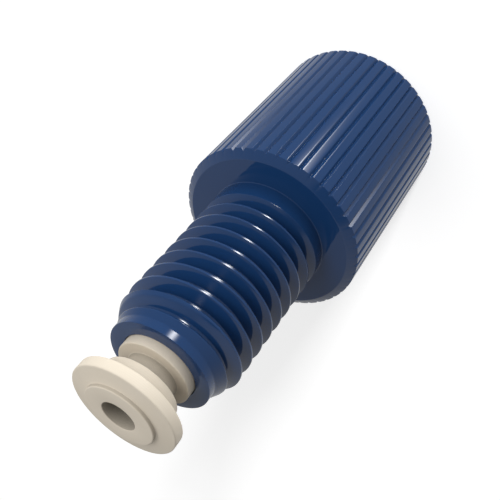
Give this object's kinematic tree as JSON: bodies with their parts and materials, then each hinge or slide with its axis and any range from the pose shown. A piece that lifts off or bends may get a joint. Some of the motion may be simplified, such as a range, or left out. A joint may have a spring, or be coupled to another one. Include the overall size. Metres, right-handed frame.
{
  "type": "fingertight tube fitting",
  "caption": "Finger-tightened tube fitting: a ribbed head and threaded nut in one piece, with a flanged ferrule that turns freely in its nose.",
  "frame": {"origin": "centre of the head's flat rear face", "axes": "+Z along the fitting's axis, from the head's rear face to the ferrule's sealing boss; +X through the middle of a grip land"},
  "size_m": [0.0098, 0.0098, 0.0236],
  "materials": {
    "nut_blue_plastic": "moulded gloss, dark blue",
    "ferrule_beige_plastic": "turned satin, warm beige"
  },
  "bodies": {
    "nut": {"nut": "nut_blue_plastic"},
    "ferrule": {"ferrule": "ferrule_beige_plastic"}
  },
  "joints": [
    {"name": "ferrule_swivel", "type": "hinge", "parent": "nut", "child": "ferrule", "pos_m": [0, 0, 0.0207], "axis": [0, 0, 1], "continuous": true}
  ]
}
